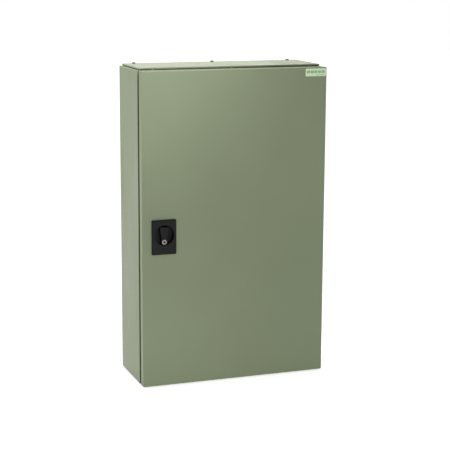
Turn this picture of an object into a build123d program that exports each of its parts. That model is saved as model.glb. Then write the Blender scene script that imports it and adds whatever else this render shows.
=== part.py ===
from build123d import *
import math
import os

# Wall-mounted automatic transfer switch in a folded sheet-steel enclosure.
# Millimetres. The origin is the centre of the rear face in the wall plane,
# +X is right, the front faces -Y and +Z is up.

# ---------------------------------------------------------------- enclosure
width = 400.0
height = 650.0
depth = 160.0
sheet = 1.5
fold_r = 2.0
half_w = width / 2
half_h = height / 2

body_front = -133.5
channel_depth = 6.0
flange_front = body_front + channel_depth
flange_w = 18.0
lip_front = -148.0
lip_x = half_w - flange_w
lip_z = half_h - flange_w

wall_hole_x = 172.0
wall_hole_z = 297.0
wall_hole_r = 4.5

# roof cover: a shallow tray screwed down over the cable aperture
cover_x = half_w - 4.0
cover_y0 = -132.5
cover_y1 = -4.0
cover_rim_z = half_h + 1.4
cover_top_z = half_h + 4.5
roof_open_x = 165.0
roof_open_y0 = -116.0
roof_open_y1 = -22.0
cover_screw_x = (-172.0, 0.0, 172.0)
cover_screw_y = -11.0
cover_tongue_x = (-168.0, 0.0, 172.0)
cover_tongue_y = -131.7

# gland plate in the floor
gland_x = 150.0
gland_y0 = -115.0
gland_y1 = -25.0
gland_frame = 12.0
gland_holes = ((-110.0, 16.0), (-60.0, 16.0), (-15.0, 12.0), (22.0, 12.0), (62.0, 16.0), (112.0, 16.0))
gland_hole_y = -70.0

# ---------------------------------------------------------------- door
door_back = -143.5
door_inner = -depth + sheet
hinge_x = 194.5
hinge_y = -146.5
hinge_z = (-230.0, 230.0)
hinge_pin_r = 2.0
hinge_fit = 0.05
knuckle_r = 3.5
gasket_gap = 0.4

# ---------------------------------------------------------------- lock
lock_x = -154.6
lock_z = -6.4
plate_cx = -154.6
plate_cz = -10.8
plate_w = 51.5
plate_h = 71.5
plate_front = -165.0
dish_r = 20.8
dish_floor = -154.5
wing_r = 6.0
wing_front = -164.7
key_z = -20.6
key_r = 5.0
key_front = -165.3
cam_len = 37.0
cam_gap = 3.5
cam_y0 = flange_front + sheet + cam_gap
cam_y1 = cam_y0 + 2.6
cam_nut_t = 4.5

# ---------------------------------------------------------------- mounting plate
mplate_x = 155.0
mplate_z = 278.0
mplate_back = -20.0
mplate_front = -22.0
stud_x = 143.0
stud_z = 266.0
stud_r = 4.0

# ---------------------------------------------------------------- transfer switch
shaft_y = -62.0
shaft_z = 20.0
shaft_r = 6.0
run_fit = 0.05
pole_pitch = 40.0
pole_x = (-90.0, -50.0, -10.0, 30.0)
house_x0 = -110.0
house_x1 = 50.0
house_back = -24.0
house_front = -100.0
house_z0 = -50.0
house_z1 = 90.0
chamber_r = 28.0
chamber_half = 15.0
hub_r = 11.0
hub_half = 13.0
blade_t = 4.0
blade_w = 12.0
blade_r = 24.5
finger_t = 2.6
finger_gap = 0.4
finger_z0 = 10.0
finger_z1 = 26.0
bar_z0 = 22.0
bar_w = 22.0
bar_t = 4.0
front_bar_y = -82.0
rear_bar_y = -42.0
link_y = -31.0
tab_len = 20.0
load_tab_z = -92.0

# drive module to the right of the poles
drive_x0 = 54.0
drive_x1 = 118.0
drive_sheet = 2.0
gear_module = 1.0
gear_teeth = 48
pinion_teeth = 12
gear_x0 = 61.0
gear_x1 = 67.0
pinion_z = shaft_z + gear_module * (gear_teeth + pinion_teeth) / 2
motor_r = 13.5
pointer_x = 103.0

# ---------------------------------------------------------------- controller
ctrl_x = 74.0
ctrl_z0 = -232.0
ctrl_z1 = -132.0
ctrl_front = -78.0
button_r = 5.5
button_z = -208.0
button_x = (-10.0, 14.0)
knob_x = 48.0
knob_z = -165.0

# ---------------------------------------------------------------- DIN rail
rail_z = 205.0
rail_front = -29.5
breaker_w = 18.0
breaker_x = (-84.0, -64.0)
toggle_y = -84.0

os.makedirs("parts", exist_ok=True)


def block(x0, x1, y0, y1, z0, z1, mode=Mode.ADD):
    """A plain block between six faces."""
    with Locations(((x0 + x1) / 2, (y0 + y1) / 2, (z0 + z1) / 2)):
        Box(x1 - x0, y1 - y0, z1 - z0, mode=mode)


def rod_x(x0, x1, y, z, r, mode=Mode.ADD):
    """A round bar along X."""
    with Locations(Location(((x0 + x1) / 2, y, z), (0, 90, 0))):
        Cylinder(r, x1 - x0, mode=mode)


def rod_y(x, y0, y1, z, r, mode=Mode.ADD):
    """A round bar along Y."""
    with Locations(Location((x, (y0 + y1) / 2, z), (90, 0, 0))):
        Cylinder(r, y1 - y0, mode=mode)


def rod_z(x, y, z0, z1, r, mode=Mode.ADD):
    """A round bar along Z."""
    with Locations((x, y, (z0 + z1) / 2)):
        Cylinder(r, z1 - z0, mode=mode)


# ================================================================ body shell
with BuildPart() as enclosure_body:
    block(-half_w, half_w, body_front, 0, -half_h, half_h)
    long_edges = enclosure_body.edges().filter_by(Axis.Y)
    fillet(long_edges, fold_r)
    block(
        -half_w + sheet, half_w - sheet, flange_front + sheet, 1,
        -half_h + sheet, half_h - sheet, Mode.SUBTRACT,
    )
    # rain channel round the opening: a recessed flange and an upright lip
    block(
        -half_w + sheet, half_w - sheet, body_front - 1, flange_front,
        -half_h + sheet, half_h - sheet, Mode.SUBTRACT,
    )
    block(-lip_x, lip_x, body_front - 1, 1, -lip_z, lip_z, Mode.SUBTRACT)
    block(-lip_x, lip_x, lip_front, flange_front + sheet, -lip_z, lip_z)
    block(
        -lip_x + sheet, lip_x - sheet, lip_front - 1, 1,
        -lip_z + sheet, lip_z - sheet, Mode.SUBTRACT,
    )
    # cable apertures in the roof and the floor
    block(
        -roof_open_x, roof_open_x, roof_open_y0, roof_open_y1,
        half_h - 5, half_h + 5, Mode.SUBTRACT,
    )
    block(
        -gland_x + gland_frame, gland_x - gland_frame,
        gland_y0 + gland_frame, gland_y1 - gland_frame,
        -half_h - 5, -half_h + 5, Mode.SUBTRACT,
    )
    # three tongues that hold the front edge of the roof cover
    for tx in cover_tongue_x:
        block(tx - 3, tx + 3, cover_tongue_y - 0.8, cover_tongue_y + 0.8, half_h - 0.5, cover_top_z)
    # screw holes
    for sx in cover_screw_x:
        rod_z(sx, cover_screw_y, half_h - 3, half_h + 3, 2.5, Mode.SUBTRACT)

with BuildPart() as rear_panel:
    block(-half_w + sheet, half_w - sheet, -sheet, 0, -half_h + sheet, half_h - sheet)
    for hx in (-wall_hole_x, wall_hole_x):
        for hz in (-wall_hole_z, wall_hole_z):
            rod_y(hx, -5, 5, hz, wall_hole_r, Mode.SUBTRACT)

with BuildPart() as top_cover:
    block(-cover_x, cover_x, cover_y0, cover_y1, cover_rim_z, cover_top_z)
    fillet(top_cover.edges().filter_by(Axis.Z), 3)
    fillet(top_cover.faces().sort_by(Axis.Z)[-1].edges(), 1.2)
    block(
        -cover_x + sheet, cover_x - sheet, cover_y0 + sheet, cover_y1 - sheet,
        cover_rim_z - 1, cover_top_z - sheet, Mode.SUBTRACT,
    )
    for sx in cover_screw_x:
        rod_z(sx, cover_screw_y, half_h, half_h + 6, 2.7, Mode.SUBTRACT)
    for tx in cover_tongue_x:
        block(tx - 3.2, tx + 3.2, cover_y0 - 1, cover_tongue_y + 1, half_h, half_h + 6, Mode.SUBTRACT)

with BuildPart() as top_cover_gasket:
    block(
        -cover_x + 2, cover_x - 2, cover_tongue_y + 1.2, cover_y1 - 2,
        half_h, cover_top_z - sheet,
    )
    block(
        -roof_open_x, roof_open_x, roof_open_y0, roof_open_y1,
        half_h - 1, half_h + 5, Mode.SUBTRACT,
    )
    for sx in cover_screw_x:
        rod_z(sx, cover_screw_y, half_h - 1, half_h + 6, 2.7, Mode.SUBTRACT)

with BuildPart() as top_cover_screws:
    for sx in cover_screw_x:
        rod_z(sx, cover_screw_y, half_h - 8, cover_top_z, 2.5)
        rod_z(sx, cover_screw_y, cover_top_z, cover_top_z + 2.2, 3.6)
    fillet(top_cover_screws.faces().filter_by(Axis.Z).group_by(Axis.Z)[-1].edges(), 1.0)
    for sx in cover_screw_x:
        block(sx - 2.4, sx + 2.4, cover_screw_y - 0.5, cover_screw_y + 0.5,
              cover_top_z + 1.2, cover_top_z + 3, Mode.SUBTRACT)
        block(sx - 0.5, sx + 0.5, cover_screw_y - 2.4, cover_screw_y + 2.4,
              cover_top_z + 1.2, cover_top_z + 3, Mode.SUBTRACT)

# ================================================================ gland plate
floor_z = -half_h + sheet
gland_gasket_t = 2.0
gland_plate_t = 2.0
gland_screw_at = [(sx, sy) for sx in (-144.0, 0.0, 144.0) for sy in (gland_y0 + 6, gland_y1 - 6)]

with BuildPart() as gland_plate_gasket:
    block(-gland_x, gland_x, gland_y0, gland_y1, floor_z, floor_z + gland_gasket_t)
    block(
        -gland_x + gland_frame, gland_x - gland_frame,
        gland_y0 + gland_frame, gland_y1 - gland_frame,
        floor_z - 1, floor_z + 3, Mode.SUBTRACT,
    )
    for sx, sy in gland_screw_at:
        rod_z(sx, sy, floor_z - 1, floor_z + 5, 2.1, Mode.SUBTRACT)

plate_z0 = floor_z + gland_gasket_t
plate_z1 = plate_z0 + gland_plate_t
with BuildPart() as gland_plate:
    block(-gland_x, gland_x, gland_y0, gland_y1, plate_z0, plate_z1)
    fillet(gland_plate.edges().filter_by(Axis.Z), 4)
    for gx, gr in gland_holes:
        rod_z(gx, gland_hole_y, plate_z0 - 1, plate_z1 + 1, gr, Mode.SUBTRACT)
    for sx, sy in gland_screw_at:
        rod_z(sx, sy, plate_z0 - 1, plate_z1 + 1, 2.1, Mode.SUBTRACT)

with BuildPart() as gland_plate_screws:
    for sx, sy in gland_screw_at:
        rod_z(sx, sy, floor_z, plate_z1, 2.0)
        rod_z(sx, sy, plate_z1, plate_z1 + 2.4, 3.6)
        block(sx - 0.5, sx + 0.5, sy - 4, sy + 4, plate_z1 + 1.3, plate_z1 + 3, Mode.SUBTRACT)

with BuildPart() as gland_blanking_plugs:
    for gx, gr in gland_holes:
        rod_z(gx, gland_hole_y, plate_z0 - 2.5, plate_z1 + 6, gr - 0.1)
        rod_z(gx, gland_hole_y, plate_z0 - 3.5, plate_z0 - 0.05, gr + 3)
        rod_z(gx, gland_hole_y, plate_z1 + 0.05, plate_z1 + 2.5, gr + 2)
        rod_z(gx, gland_hole_y, plate_z0 - 1.5, plate_z1 + 7, gr - 3, Mode.SUBTRACT)

# ================================================================ mounting plate
with BuildPart() as mounting_plate_studs:
    for sx in (-stud_x, stud_x):
        for sz in (-stud_z, stud_z):
            rod_y(sx, -37, -sheet, sz, stud_r)
            rod_y(sx, mplate_back, -sheet, sz, stud_r + 4)

with BuildPart() as mounting_plate:
    block(-mplate_x, mplate_x, mplate_front, mplate_back, -mplate_z, mplate_z)
    fillet(mounting_plate.edges().filter_by(Axis.Y), 6)
    block(-mplate_x, -mplate_x + 2, mplate_back, mplate_back + 8, -mplate_z + 30, mplate_z - 30)
    block(mplate_x - 2, mplate_x, mplate_back, mplate_back + 8, -mplate_z + 30, mplate_z - 30)
    for sx in (-stud_x, stud_x):
        for sz in (-stud_z, stud_z):
            rod_y(sx, mplate_front - 1, mplate_back + 1, sz, stud_r + 0.5, Mode.SUBTRACT)

with BuildPart() as mounting_plate_nuts:
    for sx in (-stud_x, stud_x):
        for sz in (-stud_z, stud_z):
            with BuildSketch(Plane.XZ.offset(-mplate_front)) as washer:
                with Locations((sx, sz)):
                    Circle(8)
                    Circle(stud_r, mode=Mode.SUBTRACT)
            extrude(amount=1.6)
            with BuildSketch(Plane.XZ.offset(-mplate_front + 1.6)) as hexagon:
                with Locations((sx, sz)):
                    RegularPolygon(7.5, 6)
                    Circle(stud_r, mode=Mode.SUBTRACT)
            extrude(amount=6.5)

# ================================================================ door
with BuildPart() as door_panel:
    block(-half_w, half_w, -depth, door_back, -half_h, half_h)
    fillet(door_panel.edges().filter_by(Axis.Y), 2.5)
    fillet(door_panel.faces().sort_by(Axis.Y)[0].edges(), fold_r)
    block(
        -half_w + sheet, half_w - sheet, door_inner, door_back + 1,
        -half_h + sheet, half_h - sheet, Mode.SUBTRACT,
    )
    # lock opening
    block(
        plate_cx - 21, plate_cx + 21, -depth - 1, door_inner + 1,
        plate_cz - 30, plate_cz + 30, Mode.SUBTRACT,
    )
    # the hinge-side return is notched where the hinges swing
    for hz in hinge_z:
        block(half_w - 5, half_w + 1, hinge_y - 8, door_back + 1, hz - 32, hz + 32, Mode.SUBTRACT)

with BuildPart() as door_gasket:
    block(-187, 187, door_inner, lip_front - gasket_gap, -half_h + 13, half_h - 13)
    block(-176, 176, door_inner - 1, lip_front + 1, -half_h + 24, half_h - 24, Mode.SUBTRACT)

stiffener_x = (-112.0, 150.0)
with BuildPart() as door_stiffeners:
    for sx in stiffener_x:
        block(sx - 11, sx + 11, door_inner, door_inner + 13, -285, 285)
        block(sx - 9.5, sx + 9.5, door_inner - 1, door_inner + 11.5, -286, 286, Mode.SUBTRACT)
        for step in range(13):
            rod_y(sx, door_inner + 5, door_inner + 20, -252 + 42 * step, 3.2, Mode.SUBTRACT)

with BuildPart() as document_pocket:
    block(-78, 118, door_inner, door_inner + 14, -220, -60)
    fillet(document_pocket.edges().filter_by(Axis.Y), 6)
    block(-76, 116, door_inner + 2, door_inner + 12, -218, -50, Mode.SUBTRACT)
    block(-40, 80, door_inner + 9, door_inner + 16, -96, -50, Mode.SUBTRACT)

name_x0 = 151.9
name_z0 = 306.6
with BuildPart() as name_plate:
    block(name_x0, 197.4, -depth - 0.8, -depth, name_z0, 322.4)
    fillet(name_plate.edges().filter_by(Axis.Y), 1.5)

# ================================================================ hinges
with BuildPart() as hinge_frame_leaves:
    for hz in hinge_z:
        block(184, 197, flange_front - 2, flange_front, hz - 28, hz + 28)
        for z0, z1 in ((hz - 25, hz - 9), (hz + 9, hz + 25)):
            block(190.5, 197, hinge_y + 2, flange_front - 2, z0, z1)
            rod_z(hinge_x, hinge_y, z0, z1, knuckle_r)
            rod_z(hinge_x, hinge_y, z0 - 1, z1 + 1, hinge_pin_r, Mode.SUBTRACT)

with BuildPart() as hinge_door_leaves:
    for hz in hinge_z:
        block(189, 197.6, door_inner, door_inner + 2, hz - 28, hz + 28)
        block(191, 197.6, door_inner + 2, hinge_y - 1, hz - 8.6, hz + 8.6)
        rod_z(hinge_x, hinge_y, hz - 8.6, hz + 8.6, knuckle_r)
        rod_z(hinge_x, hinge_y, hz - 10, hz + 10, hinge_pin_r + hinge_fit, Mode.SUBTRACT)

with BuildPart() as hinge_pins:
    for hz in hinge_z:
        rod_z(hinge_x, hinge_y, hz - 27, hz + 27, hinge_pin_r)

# ================================================================ lock
with BuildPart() as lock_escutcheon:
    block(
        plate_cx - plate_w / 2, plate_cx + plate_w / 2, plate_front, -depth,
        plate_cz - plate_h / 2, plate_cz + plate_h / 2,
    )
    fillet(lock_escutcheon.edges().filter_by(Axis.Y), 2)
    chamfer(lock_escutcheon.faces().sort_by(Axis.Y)[0].edges(), 1.8)
    block(
        plate_cx - 20.8, plate_cx + 20.8, -depth, -149.5,
        plate_cz - 29.8, plate_cz + 29.8,
    )
    rod_y(lock_x, -150, -139, lock_z, 11)
    # round dish for the turning handle, and the bore for its shaft
    rod_y(lock_x, plate_front - 1, dish_floor, lock_z, dish_r, Mode.SUBTRACT)
    rod_y(lock_x, dish_floor - 1, -138, lock_z, 6 + run_fit, Mode.SUBTRACT)
    # shallow pointer below the dish
    with BuildSketch(Plane.XZ.offset(-plate_front)):
        with BuildLine():
            Polyline(
                (plate_cx - 5, plate_cz - 25.6), (plate_cx, plate_cz - 22.8),
                (plate_cx + 5, plate_cz - 25.6), (plate_cx + 5, plate_cz - 27.4),
                (plate_cx, plate_cz - 24.6), (plate_cx - 5, plate_cz - 27.4), close=True,
            )
        make_face()
    extrude(amount=0.5)

with BuildPart() as lock_barrel_nut:
    with BuildSketch(Plane.XZ.offset(149.5)):
        with Locations((lock_x, lock_z)):
            RegularPolygon(16, 6)
            Circle(11, mode=Mode.SUBTRACT)
    extrude(amount=-4)

with BuildPart() as wing_handle:
    with BuildSketch(Plane.XZ.offset(-dish_floor + 0.4)):
        with BuildLine():
            Polyline(
                (lock_x - wing_r, key_z), (lock_x - 6.3, lock_z - 3.3), (lock_x - 9.9, lock_z + 16.6),
                (lock_x + 9.9, lock_z + 16.6), (lock_x + 6.3, lock_z - 3.3), (lock_x + wing_r, key_z),
                close=True,
            )
        make_face()
        with Locations((lock_x, key_z)):
            Circle(wing_r)
    extrude(amount=dish_floor - 0.4 - wing_front)
    chamfer(wing_handle.faces().sort_by(Axis.Y)[0].edges(), 0.8)
    rod_y(lock_x, dish_floor - 0.4, dish_floor - 0.2, lock_z, 9)
    rod_y(lock_x, dish_floor - 0.4, cam_y1 + cam_nut_t + 0.5, lock_z, 6)
    # pocket for the key cylinder
    rod_y(lock_x, -170, dish_floor - 2.4, key_z, key_r + run_fit, Mode.SUBTRACT)

with BuildPart() as key_cylinder:
    rod_y(lock_x, key_front, dish_floor - 2.6, key_z, key_r)
    chamfer(key_cylinder.faces().sort_by(Axis.Y)[0].edges(), 0.5)
    rod_y(lock_x, -170, key_front + 0.7, key_z, 3.3, Mode.SUBTRACT)
    block(lock_x - 0.6, lock_x + 0.6, -170, key_front + 5, key_z - 2.4, key_z + 2.4, Mode.SUBTRACT)

with BuildPart() as lock_cam:
    rod_y(lock_x, cam_y0, cam_y1, lock_z, 9)
    block(lock_x - 8, lock_x + 8, cam_y0, cam_y1, lock_z - cam_len, lock_z)
    fillet(lock_cam.edges().filter_by(Axis.Y).group_by(Axis.Z)[0], 3)
    rod_y(lock_x, cam_y0 - 1, cam_y1 + 1, lock_z, 6, Mode.SUBTRACT)

with BuildPart() as lock_cam_nut:
    with BuildSketch(Plane.XZ.offset(-cam_y1)):
        with Locations((lock_x, lock_z)):
            RegularPolygon(9, 6)
            Circle(6, mode=Mode.SUBTRACT)
    extrude(amount=-cam_nut_t)

# ================================================================ pole assembly
rear_half_y = shaft_y


def cavity(px):
    """The arc chamber and bar slots of one pole, as tools to cut away."""
    rod_x(px - chamber_half, px + chamber_half, shaft_y, shaft_z, chamber_r, Mode.SUBTRACT)
    half_bar = bar_w / 2 + 0.2
    for y0, y1, z0, z1 in (
        (front_bar_y - 6, front_bar_y + 10, shaft_z + 8, house_z1 + 1),
        (front_bar_y - 6, front_bar_y + 10, house_z0 - 1, shaft_z - 8),
        (rear_bar_y - 10, link_y + 2.4, house_z0 - 1, shaft_z + 42),
    ):
        block(px - half_bar, px + half_bar, y0, y1, z0, z1, Mode.SUBTRACT)


with BuildPart() as pole_housing_rear:
    block(house_x0, house_x1, rear_half_y, house_back, house_z0, house_z1)
    for px in pole_x:
        cavity(px)
    rod_x(house_x0 - 1, house_x1 + 1, shaft_y, shaft_z, 8.5, Mode.SUBTRACT)
    for fx in (house_x0 - 8, house_x1 - 20):
        block(fx, fx + 22, mplate_front - 6, mplate_front, house_z0 - 14, house_z0 + 4)
        block(fx, fx + 22, mplate_front - 6, mplate_front, house_z1 - 4, house_z1 + 14)

screw_at = [(gx, gz) for gx in (-70.0, 10.0) for gz in (house_z0 + 9, house_z1 - 9)]
with BuildPart() as pole_housing_front:
    block(house_x0, house_x1, house_front, rear_half_y, house_z0, house_z1)
    fillet(pole_housing_front.faces().sort_by(Axis.Y)[0].edges(), 3)
    for px in pole_x:
        cavity(px)
        # arc vents in the front face
        for step in range(5):
            vz = shaft_z - 20 + 10 * step
            block(px - 11, px + 11, house_front - 1, house_front + 8, vz - 1.5, vz + 1.5, Mode.SUBTRACT)
    rod_x(house_x0 - 1, house_x1 + 1, shaft_y, shaft_z, 8.5, Mode.SUBTRACT)
    for step in range(3):
        gx = pole_x[0] + pole_pitch * (step + 0.5)
        block(gx - 1, gx + 1, house_front - 1, house_front + 3, house_z0 - 1, house_z1 + 1, Mode.SUBTRACT)
    for gx, gz in screw_at:
        rod_y(gx, house_front - 1, house_front + 4, gz, 4.6, Mode.SUBTRACT)

with BuildPart() as housing_screws:
    for gx, gz in screw_at:
        rod_y(gx, house_front + 0.4, house_front + 4, gz, 4.2)
        block(gx - 0.6, gx + 0.6, house_front, house_front + 1.8, gz - 5, gz + 5, Mode.SUBTRACT)


def fingers(px, bar_y, side, up):
    """A fork of two contact fingers beside the blade, and the bar end that carries them."""
    inner = blade_t / 2 + finger_gap
    y_pair = sorted((bar_y - side * bar_t / 2, bar_y + side * 8))
    z_pair = sorted((shaft_z + up * finger_z0, shaft_z + up * finger_z1))
    block(px - inner - finger_t, px - inner, y_pair[0], y_pair[1], z_pair[0], z_pair[1])
    block(px + inner, px + inner + finger_t, y_pair[0], y_pair[1], z_pair[0], z_pair[1])


def flat_bar(px, y, z0, z1):
    """A flat copper bar standing along Z."""
    block(px - bar_w / 2, px + bar_w / 2, y - bar_t / 2, y + bar_t / 2, z0, z1)


supply_1_bolt_z = house_z1 + tab_len - 10
supply_2_bolt_z = house_z0 - tab_len + 10
load_bolt_z = load_tab_z + 10

with BuildPart() as supply_1_contacts:
    for px in pole_x:
        fingers(px, front_bar_y, 1, 1)
        flat_bar(px, front_bar_y, shaft_z + bar_z0, house_z1 + tab_len)
        rod_y(px, -100, -60, supply_1_bolt_z, 4.2, Mode.SUBTRACT)

with BuildPart() as supply_2_contacts:
    for px in pole_x:
        fingers(px, front_bar_y, 1, -1)
        flat_bar(px, front_bar_y, house_z0 - tab_len, shaft_z - bar_z0)
        rod_y(px, -100, -60, supply_2_bolt_z, 4.2, Mode.SUBTRACT)

with BuildPart() as load_contacts:
    for px in pole_x:
        fingers(px, rear_bar_y, -1, 1)
        fingers(px, rear_bar_y, -1, -1)
        flat_bar(px, rear_bar_y, shaft_z + bar_z0, shaft_z + 38)
        flat_bar(px, rear_bar_y, load_tab_z, shaft_z - bar_z0)
        flat_bar(px, link_y, shaft_z - 38, shaft_z + 38)
        for z0 in (shaft_z - 38, shaft_z + 34):
            block(px - bar_w / 2, px + bar_w / 2, rear_bar_y - bar_t / 2, link_y + bar_t / 2, z0, z0 + 4)
        rod_y(px, -60, -36, load_bolt_z, 4.2, Mode.SUBTRACT)

bolt_places = (
    (front_bar_y - bar_t / 2, supply_1_bolt_z),
    (front_bar_y - bar_t / 2, supply_2_bolt_z),
    (rear_bar_y - bar_t / 2, load_bolt_z),
)
with BuildPart() as terminal_bolts:
    for face_y, bz in bolt_places:
        with BuildSketch(Plane.XZ.offset(-face_y)):
            with Locations([(px, bz) for px in pole_x]):
                Circle(8)
        extrude(amount=1.5)
        with BuildSketch(Plane.XZ.offset(-face_y + 1.5)):
            with Locations([(px, bz) for px in pole_x]):
                RegularPolygon(7.2, 6)
        extrude(amount=5)
        for px in pole_x:
            rod_y(px, face_y - 1, face_y + 14, bz, 4.0)
        with BuildSketch(Plane.XZ.offset(-face_y - bar_t)):
            with Locations([(px, bz) for px in pole_x]):
                RegularPolygon(7.2, 6)
        extrude(amount=-6)

with BuildPart() as phase_barriers:
    for step in range(3):
        gx = pole_x[0] + pole_pitch * (step + 0.5)
        block(gx - 1, gx + 1, -97, -30, house_z1, house_z1 + 36)
        block(gx - 1, gx + 1, -97, -30, house_z0 - 52, house_z0)

# ================================================================ rotor
with BuildPart() as main_shaft:
    rod_x(house_x0 - 6, 120, shaft_y, shaft_z, shaft_r)
    block(119, 125, shaft_y - 4, shaft_y + 4, shaft_z - 4, shaft_z + 4)

with BuildPart() as rotor_hubs:
    for px in pole_x:
        for side in (-1, 1):
            x0, x1 = sorted((px + side * blade_t / 2, px + side * hub_half))
            rod_x(x0, x1, shaft_y, shaft_z, hub_r)
            rod_x(x0, x1, shaft_y, shaft_z, shaft_r, Mode.SUBTRACT)

with BuildPart() as moving_blades:
    for px in pole_x:
        rod_x(px - blade_t / 2, px + blade_t / 2, shaft_y, shaft_z, 10)
        block(px - blade_t / 2, px + blade_t / 2, shaft_y - blade_r, shaft_y + blade_r,
              shaft_z - blade_w / 2, shaft_z + blade_w / 2)
        rod_x(px - 5, px + 5, shaft_y, shaft_z, shaft_r, Mode.SUBTRACT)

bush_spans = ((house_x0 - 3, house_x0 + 4), (46, 58), (113, 119))
with BuildPart() as shaft_bushes:
    for x0, x1 in bush_spans:
        rod_x(x0, x1, shaft_y, shaft_z, 8.5)
        rod_x(x0 - 1, x1 + 1, shaft_y, shaft_z, shaft_r + run_fit, Mode.SUBTRACT)


def spur(teeth, x0, x1, z, phase):
    """A straight-flanked spur gear about an axis along X."""
    pitch_r = gear_module * teeth / 2
    half = math.pi * gear_module / 4 - 0.22
    lean = math.tan(math.radians(20))
    add_h = 0.7 * gear_module
    ded = 1.1 * gear_module
    root = ded + 0.3
    with BuildPart() as gear:
        rod_x(x0, x1, shaft_y, z, pitch_r - ded)
        with BuildSketch(Plane.YZ.offset(x0)):
            with Locations((shaft_y, z)):
                with PolarLocations(pitch_r, teeth, start_angle=phase):
                    Polygon(
                        (-root, -half - ded * lean), (-ded, -half - ded * lean),
                        (add_h, -half + add_h * lean), (add_h, half - add_h * lean),
                        (-ded, half + ded * lean), (-root, half + ded * lean),
                        align=None,
                    )
        extrude(amount=x1 - x0)
    return gear.part


gear_rim = spur(gear_teeth, gear_x0, gear_x1, shaft_z, 90.0)
with BuildPart() as shaft_gear:
    add(gear_rim)
    rod_x(gear_x0 - 2, gear_x1 + 1.5, shaft_y, shaft_z, 11)
    for step in range(6):
        turn = math.radians(30 + 60 * step)
        rod_x(gear_x0 - 1, gear_x1 + 1, shaft_y + 16 * math.cos(turn), shaft_z + 16 * math.sin(turn),
              3.5, Mode.SUBTRACT)
    rod_x(gear_x0 - 3, gear_x1 + 3, shaft_y, shaft_z, shaft_r, Mode.SUBTRACT)

pinion_gap = 270.0 + 180.0 / pinion_teeth
pinion_rim = spur(pinion_teeth, gear_x0, gear_x1, pinion_z, pinion_gap)
with BuildPart() as motor_pinion:
    add(pinion_rim)
    rod_x(gear_x0 - 1, 77, shaft_y, pinion_z, 3.0)

with BuildPart() as position_pointer:
    rod_x(pointer_x - 4, pointer_x + 4, shaft_y, shaft_z, 10)
    block(pointer_x - 1.5, pointer_x + 1.5, shaft_y - 36, shaft_y, shaft_z - 3, shaft_z + 3)
    block(pointer_x - 3, pointer_x + 3, shaft_y - 38.4, shaft_y - 34, shaft_z - 2.5, shaft_z + 2.5)
    rod_x(pointer_x - 5, pointer_x + 5, shaft_y, shaft_z, shaft_r, Mode.SUBTRACT)

# ================================================================ drive
with BuildPart() as drive_frame:
    block(drive_x0, drive_x1, mplate_front - 2, mplate_front, house_z0, house_z1)
    block(drive_x0, drive_x0 + drive_sheet, -98, mplate_front, house_z0, house_z1)
    block(drive_x1 - drive_sheet, drive_x1, -98, mplate_front, house_z0, house_z1)
    block(70, 72, -90, mplate_front, house_z0, house_z1)
    for x0, x1, r in ((53, 57, 8.5), (69, 73, 9.0), (115, 119, 8.5)):
        rod_x(x0, x1, shaft_y, shaft_z, r, Mode.SUBTRACT)
    rod_x(69, 73, shaft_y, pinion_z, 4.0, Mode.SUBTRACT)

with BuildPart() as gear_motor:
    block(72, 90, -77, -47, pinion_z - 13.5, pinion_z + 16)
    fillet(gear_motor.edges().filter_by(Axis.X), 3)
    rod_x(90, 110, shaft_y, pinion_z, motor_r)
    rod_x(110, 113, shaft_y, pinion_z, 5)
    rod_x(71.9, 78, shaft_y, pinion_z, 3.0 + run_fit, Mode.SUBTRACT)

with BuildPart() as drive_cover:
    block(drive_x0 - 1.6, drive_x1 + 1.6, -102, -86, house_z0 - 1.6, house_z1 + 1.6)
    fillet(drive_cover.faces().sort_by(Axis.Y)[0].edges(), 1.5)
    block(drive_x0, drive_x1, -99.5, -85, house_z0, house_z1, Mode.SUBTRACT)
    block(pointer_x - 4.5, pointer_x + 4.5, -103, -98, shaft_z - 34, shaft_z + 34, Mode.SUBTRACT)

# ================================================================ DIN rail gear
with BuildPart() as din_rail:
    block(-120, 120, mplate_front - 1, mplate_front, rail_z - 12.5, rail_z + 12.5)
    for side in (-1, 1):
        z0, z1 = sorted((rail_z + side * 11.5, rail_z + side * 12.5))
        block(-120, 120, rail_front, mplate_front, z0, z1)
        z0, z1 = sorted((rail_z + side * 12.5, rail_z + side * 17.5))
        block(-120, 120, rail_front, rail_front + 1, z0, z1)

with BuildPart() as control_breakers:
    for bx in breaker_x:
        half = breaker_w / 2 - 0.2
        block(bx - half, bx + half, -73, rail_front, rail_z - 40, rail_z + 40)
        block(bx - half, bx + half, -88, -73, rail_z - 22.5, rail_z + 22.5)
        block(bx - 4.2, bx + 4.2, -90, -72.5, rail_z - 13, rail_z + 13, Mode.SUBTRACT)
        for z0 in (rail_z - 34, rail_z + 34):
            rod_y(bx, -80, -66, z0, 3.4, Mode.SUBTRACT)


def toggle(bx):
    """A breaker toggle resting tipped up."""
    rod_x(bx - 3.6, bx + 3.6, toggle_y + 4, rail_z, 6)
    with Locations(Location((bx, toggle_y + 4, rail_z), (-22, 0, 0))):
        with Locations((0, -8, 0)):
            Box(7.2, 16, 5)


with BuildPart() as supply_1_breaker_toggle:
    toggle(breaker_x[0])

with BuildPart() as supply_2_breaker_toggle:
    toggle(breaker_x[1])

terminal_count = 10
terminal_pitch = 6.2
with BuildPart() as terminal_blocks:
    for step in range(terminal_count):
        x0 = terminal_pitch * step
        block(x0, x0 + 5.7, -52, rail_front, rail_z - 24, rail_z + 24)
        block(x0, x0 + 5.7, -68, -52, rail_z - 15, rail_z + 15)
        for tz in (rail_z - 9, rail_z + 9):
            rod_y(x0 + 2.85, -69, -62, tz, 2.0, Mode.SUBTRACT)

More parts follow.
